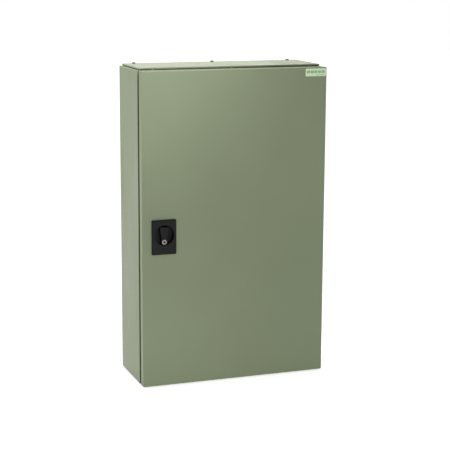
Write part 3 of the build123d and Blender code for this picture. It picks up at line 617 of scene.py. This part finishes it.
# ------------------------------------------------------------------ door, outside
def label_marks():
    """A row of equal plain blocks over a thin line, printed on the door label."""
    plate = span("name_plate")
    blocks = 5
    gap = 1.3
    margin = 3.0
    block_z = (plate.z0 + 6.4, plate.z0 + 11.6)
    line_z = (plate.z0 + 2.4, plate.z0 + 3.4)
    left, right = plate.x0 + margin, plate.x1 - margin
    pitch = (right - left + gap) / blocks
    bm = bmesh.new()
    for i in range(blocks):
        x = left + pitch * i
        ink(bm, x, x + pitch - gap, *block_z, plate.y0)
    ink(bm, plate.cx, right, *line_z, plate.y0)
    add_piece("name_plate_marks", bm, "label_ink", "door")


def key_face():
    """The dark slotted face inside the bright ring of the key cylinder."""
    ring = span("key_cylinder")
    face_r = 2.5
    recess = ring.y0 + 0.7
    bm = bmesh.new()
    screw(bm, ring.cx, ring.cz, face_r, recess, recess - 0.4, math.pi / 2)
    add_piece("key_cylinder_face", bm, "key_steel", "lock_key_barrel")


# ------------------------------------------------------------------ hinges
def hinge_levels(leaves):
    """The heights of the middles of the two hinges."""
    half_leaf = 28
    return leaves.z0 + half_leaf, leaves.z1 - half_leaf


def hinge_door_screws():
    """Screws that hold the hinge leaves to the inner face of the door."""
    face = span("door_stiffeners").y0 + 2.0
    column_x = 193.0
    bm = bmesh.new()
    for level in hinge_levels(span("hinge_door_leaves")):
        for dz in (-19, 19):
            screw(bm, column_x, level + dz, 2.6, face, face + 1.3, 0.3 + dz * 0.05)
    add_piece("hinge_door_screws", bm, "steel_dark", "door")


def hinge_frame_screws():
    """Screws that hold the hinge leaves to the recessed flange of the body."""
    leaves = span("hinge_frame_leaves")
    face = leaves.y1 - 2.0
    column_x = 187.3
    bm = bmesh.new()
    for level in hinge_levels(leaves):
        for dz in (-20, 0, 20):
            screw(bm, column_x, level + dz, 2.4, face, face - 1.2, 0.9 + dz * 0.04)
    add_piece("hinge_frame_screws", bm, "steel_dark", "enclosure")


# ------------------------------------------------------------------ door, inside
def door_earth_stud():
    """The earth stud on the inner face of the door, with its washer and nut."""
    inner = span("door_stiffeners").y0
    x, z = -150.0, -292.0
    stud_r = 3.0
    stud_end = inner + 15
    washer_r = 7.0
    washer_top = inner + 1.4
    nut_r = 5.8
    nut_corner = 0.6
    nut_top = washer_top + 4.8
    bm = bmesh.new()
    disc(bm, x, z, stud_r, inner, stud_end, 0.5)
    collar(bm, x, z, stud_r + 0.1, washer_r, inner, washer_top, 0.3)
    loft(bm, [
        circle(x, washer_top, z, nut_r, 6), circle(x, nut_top - nut_corner, z, nut_r, 6),
        circle(x, nut_top, z, nut_r - nut_corner, 6),
    ])
    add_piece("door_earth_stud", bm, "brass", "door")


def pocket_papers():
    """Folded circuit diagrams standing in the pocket."""
    pocket = span("document_pocket")
    dice = random.Random(5)
    sheets = 5
    pitch = 1.5
    thick = 0.9
    width = 160
    bm = bmesh.new()
    for sheet in range(sheets):
        front = pocket.y0 + 3.2 + pitch * sheet
        left = pocket.x0 + 14 + dice.uniform(-4, 4)
        top = pocket.z1 + 16 - 3.4 * sheet + dice.uniform(-1, 1)
        tablet(bm, left, left + width, pocket.z0 + 4, top, front + thick, front, 0.8, 0.1)
    add_piece("circuit_diagrams", bm, "paper", "door")


# ------------------------------------------------------------------ enclosure
def plug_ridges():
    """Raised rings and a centre pip under each blanking plug, built upright and turned to face down."""
    half_ridge = 0.7
    ridge_rise = 0.7
    pip_rise = 0.9
    face_down = Matrix.Rotation(math.radians(90), 3, "X")
    bm = bmesh.new()
    for plug in solids_of("gland_blanking_plugs"):
        face = plug.z0
        r = (plug.x1 - plug.x0) / 2
        for share in (0.46, 0.76):
            inside, outside = r * share - half_ridge, r * share + half_ridge
            collar(bm, plug.cx, -plug.cy, inside, outside, face, face - ridge_rise, 0.3)
        disc(bm, plug.cx, -plug.cy, r * 0.14, face, face - pip_rise, 0.4)
    bmesh.ops.rotate(bm, verts=bm.verts, cent=(0, 0, 0), matrix=face_down)
    add_piece("gland_plug_ridges", bm, "plug_rubber", "enclosure")


def duct_wires():
    """Wires lying in lanes and layers inside each wiring duct, their staggered ends turned to the back."""
    duct = span("wiring_ducts")
    dice = random.Random(11)
    wires = 9
    points = 12
    first_lane, lane = 131.8, 2.05
    first_layer, layer, layers = -30.0, 6.5, 3
    radius = 1.3
    back = duct.y1 - 3.2
    for side, name in ((-1, "duct_wires_left"), (1, "duct_wires_right")):
        routes = []
        for i in range(wires):
            x = side * (first_lane + lane * i)
            y = first_layer - layer * (i % layers) - dice.uniform(0, 2)
            low, high = duct.z0 + 3 + 5 * (i % 4), duct.z1 - 3 - 6 * (i % 3)
            lay = [
                (x + dice.uniform(-1.2, 1.2), y + dice.uniform(-2, 2), low + (high - low) * k / (points - 1))
                for k in range(points)
            ]
            routes.append([(lay[0][0], back, low), *lay, (lay[-1][0], back, high)])
        add_wires(name, routes, radius, "enclosure")


# ------------------------------------------------------------------ transfer switch
def pole_tags():
    """A white tag on each pole, with one to four bars."""
    poles = 4
    contacts = span("supply_1_contacts")
    face = span("pole_housing_front").y0
    tag_face = face - 0.5
    half_contact = 11
    half_tag = 9
    tag_z = (54, 64)
    bar_z = (56, 62)
    bar_pitch = 3.2
    half_bar = 0.6
    pitch = (contacts.x1 - contacts.x0 - 2 * half_contact) / (poles - 1)
    tags = bmesh.new()
    bars = bmesh.new()
    for pole in range(poles):
        x = contacts.x0 + half_contact + pitch * pole
        tablet(tags, x - half_tag, x + half_tag, *tag_z, face, tag_face, 1.0)
        for i in range(pole + 1):
            bx = x + (i - pole / 2) * bar_pitch
            ink(bars, bx - half_bar, bx + half_bar, *bar_z, tag_face)
    add_piece("pole_tags", tags, "white", "enclosure")
    add_piece("pole_tag_marks", bars, "ink", "enclosure")


def drive_cover_screws():
    """A screw in each corner of the drive cover."""
    cover = span("drive_cover")
    inset = 5.5
    bm = bmesh.new()
    for x in (cover.x0 + inset, cover.x1 - inset):
        for z in (cover.z0 + inset, cover.z1 - inset):
            screw(bm, x, z, 2.8, cover.y0, cover.y0 - 1.4, x * 0.1 + z * 0.03)
    add_piece("drive_cover_screws", bm, "steel_dark", "enclosure")


def position_scale():
    """The I, 0, II scale beside the pointer slot."""
    face = span("drive_cover").y0
    pointer = span("position_pointer")
    shaft = span("main_shaft")
    swing = 27.0
    tick_x = (pointer.cx - 10.5, pointer.cx - 6.5)
    half_tick = 0.5
    bm = bmesh.new()
    for level, count in ((swing, 1), (0.0, 0), (-swing, 2)):
        z = shaft.cz + level
        ink(bm, *tick_x, z - half_tick, z + half_tick, face)
        numeral(bm, count, pointer.cx - 16, z, face)
    add_piece("position_scale", bm, "ink", "enclosure")


def drive_rating_plate():
    """A white plate with three plain lines at the top of the drive cover."""
    cover = span("drive_cover")
    plate_face = cover.y0 - 0.4
    low, high = cover.z1 - 24, cover.z1 - 11
    plate = bmesh.new()
    tablet(plate, cover.x0 + 12, cover.x1 - 12, low, high, cover.y0, plate_face, 1.5)
    add_piece("drive_rating_plate", plate, "white", "enclosure")
    lines = bmesh.new()
    left = cover.x0 + 15
    row_pitch = 3.2
    half_line = 0.5
    for row, reach in enumerate((30, 22, 26)):
        z = cover.z1 - 14.5 - row_pitch * row
        ink(lines, left, left + reach, z - half_line, z + half_line, plate_face)
    add_piece("drive_rating_marks", lines, "ink", "enclosure")


# ------------------------------------------------------------------ controller
def lamp_places():
    """The centre of each status lamp, from left to right."""
    lamps = span("status_lamps")
    count = 5
    lamp_r = 2.5
    pitch = (lamps.x1 - lamps.x0 - 2 * lamp_r) / (count - 1)
    return [(lamps.x0 + lamp_r + pitch * i, lamps.cz) for i in range(count)]


def controller_bezels():
    """Raised rings round the display, the lamps and the buttons."""
    front = span("controller_fascia").y0
    bm = bmesh.new()
    surround(bm, span("display_window"), 4.0, front, front - 1.2)
    for x, z in lamp_places():
        collar(bm, x, z, 2.7, 4.0, front, front - 0.9, 0.3)
    for button in ("transfer_button", "off_button"):
        cap = span(button)
        collar(bm, cap.cx, cap.cz, 6.0, 8.2, front, front - 1.3, 0.4)
    add_piece("controller_bezels", bm, "cover_grey", "enclosure")


def display_readings():
    """Three rows of plain blocks, a rule and four soft-key bars on the display."""
    window = span("display_window")
    glass = window.y0
    margin = 5
    first_row, row_pitch = window.z1 - 8, 10.5
    icon = 6
    first_block, block_pitch, block_width = window.x0 + 16, 5.2, 3.6
    half_block = 2.6
    rule_z = (window.z0 + 7.6, window.z0 + 8.2)
    first_key, key_pitch, key_width = window.x0 + 6, 17, 10
    key_z = (window.z0 + 3, window.z0 + 5.6)
    bm = bmesh.new()
    for row in range(3):
        z = first_row - row_pitch * row
        left = window.x0 + margin
        tablet(bm, left, left + icon, z - icon / 2, z + icon / 2, glass, glass - SCREEN_PRINT, 0.6, 0.02)
        for k in range(9 - 2 * row):
            x = first_block + block_pitch * k
            ink(bm, x, x + block_width, z - half_block, z + half_block, glass, SCREEN_PRINT)
    ink(bm, window.x0 + margin, window.x1 - margin, *rule_z, glass, SCREEN_PRINT)
    for k in range(4):
        x = first_key + key_pitch * k
        ink(bm, x, x + key_width, *key_z, glass, SCREEN_PRINT)
    add_piece("display_readings", bm, "ink", "enclosure")


def knob_scale(bm, front):
    """Ticks and the numerals I, 0, II round the selector knob."""
    knob = span("mode_selector_knob")
    half_dot = 0.45
    numeral_r = 20
    for degrees, count in ((135, 1), (90, 0), (45, 2)):
        a = math.radians(degrees)
        for r in (14.0, 14.8, 15.6):
            x, z = knob.cx + r * math.cos(a), knob.cz + r * math.sin(a)
            ink(bm, x - half_dot, x + half_dot, z - half_dot, z + half_dot, front)
        x, z = knob.cx + numeral_r * math.cos(a), knob.cz + numeral_r * math.sin(a)
        numeral(bm, count, x, z, front, 4.6, 0.7)


def mimic_diagram(bm, front, top):
    """Two sources that meet in one load line, drawn below the selector knob."""
    left, right = 36.0, 58.0
    middle = (left + right) / 2
    half_line = 0.4
    source_r = 3.5
    switch = top - 13
    joint = top - 18
    foot = top - 31
    for x in (left, right):
        collar(bm, x, top, source_r - 0.9, source_r, front, front - PRINT, 0.03)
        ink(bm, x - half_line, x + half_line, switch + 1, top - source_r, front)
        disc(bm, x, switch, 1.0, front, front - PRINT, 0.03)
    ink(bm, left + 1.5, right - 1.5, joint - half_line, joint + half_line, front)
    ink(bm, middle - half_line, middle + half_line, foot, joint - half_line, front)
    numeral(bm, 1, left - 6.5, top, front, 4.2, 0.6)
    numeral(bm, 2, right + 7, top, front, 4.2, 0.6)


def controller_print():
    """White print on the fascia: lamp bars, knob scale and mimic diagram."""
    fascia = span("controller_fascia")
    bm = bmesh.new()
    for x, z in lamp_places():
        ink(bm, x - 2.6, x + 2.6, z - 9, z - 8, fascia.y0)
    knob_scale(bm, fascia.y0)
    mimic_diagram(bm, fascia.y0, fascia.z0 + 40)
    add_piece("controller_print", bm, "ink_white", "enclosure")


def controller_screws():
    """A screw in each corner of the fascia."""
    face = span("controller_fascia")
    inset = 5
    bm = bmesh.new()
    for x in (face.x0 + inset, face.x1 - inset):
        for z in (face.z0 + inset, face.z1 - inset):
            screw(bm, x, z, 2.3, face.y0, face.y0 - 1.2, x * 0.2 + z * 0.1)
    add_piece("controller_screws", bm, "steel_dark", "enclosure")


def moving_marks():
    """The line on the selector knob and the numerals on the two buttons."""
    knob = span("mode_selector_knob")
    half_line = 0.7
    bm = bmesh.new()
    ink(bm, knob.cx - half_line, knob.cx + half_line, knob.cz + 1, knob.cz + 10.2, knob.y0)
    add_piece("knob_line", bm, "ink_white", "selector")
    for button, body, count in (("transfer_button", "transfer_push", 1), ("off_button", "off_push", 0)):
        cap = span(button)
        bm = bmesh.new()
        numeral(bm, count, cap.cx, cap.cz, cap.y0, 5.0)
        add_piece(button + "_mark", bm, "ink_white", body)


# ------------------------------------------------------------------ rail devices
def breaker_details(rail, breakers, screws, prints, windows):
    """Clamp screws, prints and state windows of the two breakers."""
    face = breakers.y0
    clamp_face = -66.0
    row_pitch = 2.6
    half_line = 0.5
    half_window = 2.8
    window_z = (rail.cz + 16, rail.cz + 20)
    for toggle in (span("supply_1_breaker_toggle"), span("supply_2_breaker_toggle")):
        for dz in (-34, 34):
            screw(screws, toggle.cx, rail.cz + dz, 3.1, clamp_face, clamp_face - 2.2, 0.5 + dz)
        for row, half in enumerate((6.0, 4.5)):
            z = rail.cz - 17.5 - row_pitch * row
            ink(prints, toggle.cx - half, toggle.cx + half - 1, z - half_line, z + half_line, face)
        numeral(prints, 1, toggle.cx - 6.4, rail.cz + 8, face, 3.6, 0.6)
        numeral(prints, 0, toggle.cx - 6.4, rail.cz - 8, face, 3.6, 0.5)
        left, right = toggle.cx - half_window, toggle.cx + half_window
        tablet(windows, left, right, *window_z, face, face - 0.15, 0.5, 0.05)


def terminal_details(rail, blocks, screws, prints, tags):
    """Clamp screws and marker tags of the ten terminals: one bar for the first five, then two."""
    count = 10
    block_width = 5.7
    clamp_face = -62.0
    tag_face = blocks.y0 - 0.5
    half_tag = 2.3
    tag_z = (rail.cz - 2.6, rail.cz + 2.6)
    bar_z = (rail.cz - 1.5, rail.cz + 1.5)
    pitch = (blocks.x1 - blocks.x0 - block_width) / (count - 1)
    for i in range(count):
        x = blocks.x0 + pitch * i + block_width / 2
        for dz in (-9, 9):
            screw(screws, x, rail.cz + dz, 1.8, clamp_face, clamp_face - 1.2, 0.9 + 0.7 * i)
        tablet(tags, x - half_tag, x + half_tag, *tag_z, blocks.y0, tag_face, 0.4, 0.15)
        ink(prints, x - 0.35, x + 0.35, *bar_z, tag_face)
        if i >= count // 2:
            ink(prints, x + 0.75, x + 1.35, *bar_z, tag_face)


def end_stops(rail, breakers, blocks, screws, stops):
    """A screwed stop on the rail at each end of the breakers and of the terminals."""
    clear = 5.5
    half_width = 4
    foot = rail.y0 - 12
    head = rail.y0 - 19
    foot_z = (rail.cz - 19, rail.cz + 19)
    head_z = (rail.cz - 9, rail.cz + 9)
    for x in (breakers.x0 - clear, breakers.x1 + clear, blocks.x0 - clear, blocks.x1 + clear):
        left, right = x - half_width, x + half_width
        tablet(stops, left, right, *foot_z, rail.y0 - 0.1, foot, 1.5, 0.8)
        tablet(stops, left, right, *head_z, foot, head, 1.5, 0.8)
        screw(screws, x, rail.cz, 2.6, head, head - 1.3, 0.2 + x)


def rail_details():
    """Screws, prints and tags of the devices on the rail, and the rail end stops."""
    rail = span("din_rail")
    breakers = span("control_breakers")
    blocks = span("terminal_blocks")
    screws, prints, windows, tags, stops = (bmesh.new() for _ in range(5))
    breaker_details(rail, breakers, screws, prints, windows)
    terminal_details(rail, blocks, screws, prints, tags)
    end_stops(rail, breakers, blocks, screws, stops)
    add_piece("rail_device_screws", screws, "steel_dark", "enclosure")
    add_piece("rail_device_prints", prints, "ink", "enclosure")
    add_piece("breaker_state_windows", windows, "ink_green", "enclosure")
    add_piece("terminal_tags", tags, "white", "enclosure")
    add_piece("rail_end_stops", stops, "terminal", "enclosure")


def earth_sign():
    """The earth symbol on a round plate beside the earth bar."""
    plate = span("mounting_plate")
    bar = span("earth_bar")
    x, z = bar.x0 - 14, bar.cz
    sign_face = plate.y0 - 0.4
    half_line = 0.4
    row_pitch = 1.9
    bm = bmesh.new()
    disc(bm, x, z, 7.0, plate.y0, sign_face, 0.15)
    add_piece("earth_sign_plate", bm, "ink_white", "enclosure")
    bm = bmesh.new()
    ink(bm, x - half_line, x + half_line, z, z + 4.6, sign_face)
    for row, half in enumerate((4.0, 2.6, 1.2)):
        level = z - row_pitch * row
        ink(bm, x - half, x + half, level - half_line, level + half_line, sign_face)
    add_piece("earth_sign_mark", bm, "ink", "enclosure")


label_marks()
key_face()
hinge_door_screws()
door_earth_stud()
pocket_papers()
hinge_frame_screws()
plug_ridges()
duct_wires()
pole_tags()
drive_cover_screws()
position_scale()
drive_rating_plate()
controller_bezels()
display_readings()
controller_print()
controller_screws()
moving_marks()
rail_details()
earth_sign()

# ------------------------------------------------------------------ stage and light, in metres
floor_gap = 0.002
floor_reach = 9.0
floor_glow = 0.55
floor_z = cad_box[0][2] - floor_gap
floor_mat = Nodes("floor")
floor_mat.bsdf.inputs["Base Color"].default_value = (0.9, 0.9, 0.9, 1)
floor_mat.bsdf.inputs["Roughness"].default_value = 0.9
floor_mat.bsdf.inputs["Emission Color"].default_value = (1, 1, 1, 1)
floor_mat.bsdf.inputs["Emission Strength"].default_value = floor_glow
floor_mesh = bpy.data.meshes.new("floor")
floor_mesh.from_pydata(
    [(x * floor_reach, y * floor_reach, floor_z) for x, y in ((-1, -1), (1, -1), (1, 1), (-1, 1))],
    [], [(0, 1, 2, 3)],
)
floor_mesh.materials.append(floor_mat.mat)
floor = bpy.data.objects.new("floor", floor_mesh)
scene.collection.objects.link(floor)


def studio_world(room_light):
    """A white backdrop for the eye over a slightly dimmer white room."""
    world = bpy.data.worlds.new("studio")
    scene.world = world
    world.use_nodes = True
    tree = world.node_tree
    room = tree.nodes["Background"]
    room.inputs["Color"].default_value = (1, 1, 1, 1)
    room.inputs["Strength"].default_value = room_light
    backdrop = tree.nodes.new("ShaderNodeBackground")
    backdrop.inputs["Color"].default_value = (1, 1, 1, 1)
    path = tree.nodes.new("ShaderNodeLightPath")
    blend = tree.nodes.new("ShaderNodeMixShader")
    tree.links.new(path.outputs["Is Camera Ray"], blend.inputs["Fac"])
    tree.links.new(room.outputs["Background"], blend.inputs[1])
    tree.links.new(backdrop.outputs["Background"], blend.inputs[2])
    tree.links.new(blend.outputs["Shader"], tree.nodes["World Output"].inputs["Surface"])


def aim(name, data, where, target):
    """Puts a light somewhere and points it at a target."""
    o = bpy.data.objects.new(name, data)
    scene.collection.objects.link(o)
    o.location = where
    o.rotation_euler = (Vector(target) - Vector(where)).to_track_quat("-Z", "Y").to_euler()


def softbox(name, where, target, width, height, power, colour):
    """A rectangular studio light."""
    data = bpy.data.lights.new(name, "AREA")
    data.color = colour
    data.shape = "RECTANGLE"
    data.size = width
    data.size_y = height
    data.energy = power
    aim(name, data, where, target)


def spot(name, where, target, cone, power, colour=(1, 1, 1)):
    """A round lamp with a fully soft edge. The cone is in degrees."""
    data = bpy.data.lights.new(name, "SPOT")
    data.color = colour
    data.spot_size = math.radians(cone)
    data.spot_blend = 1.0
    data.shadow_soft_size = 0.12
    data.energy = power
    aim(name, data, where, target)


COOL = (0.94, 0.90, 1.0)
WARM = (1.0, 1.0, 0.92)
LEAFY = (0.94, 1.0, 0.84)
studio_world(room_light=0.712)
spot("key", (-0.20, -1.45, 1.1), (-0.24, -0.16, 0.45), cone=30, power=95, colour=COOL)
spot("key_mid", (0.05, -1.6, 0.9), (0.02, -0.16, 0.30), cone=34, power=9)
spot("key_low", (-0.20, -1.45, -0.1), (-0.22, -0.16, -0.27), cone=34, power=12)
spot("roof", (-0.05, 0.3, 1.9), (-0.03, -0.08, 0.33), cone=24, power=86)
spot("side_up", (-1.6, 0.1, 0.6), (-0.2, -0.07, 0.26), cone=22, power=14.5, colour=WARM)
softbox("side", (-1.9, 0.35, 0.3), (-0.2, -0.07, 0.0), width=1.2, height=1.6, power=7.2, colour=LEAFY)
softbox("rear", (0.3, 1.9, 0.85), (0.0, 0.0, 0.3), width=2.6, height=1.1, power=10.5, colour=WARM)
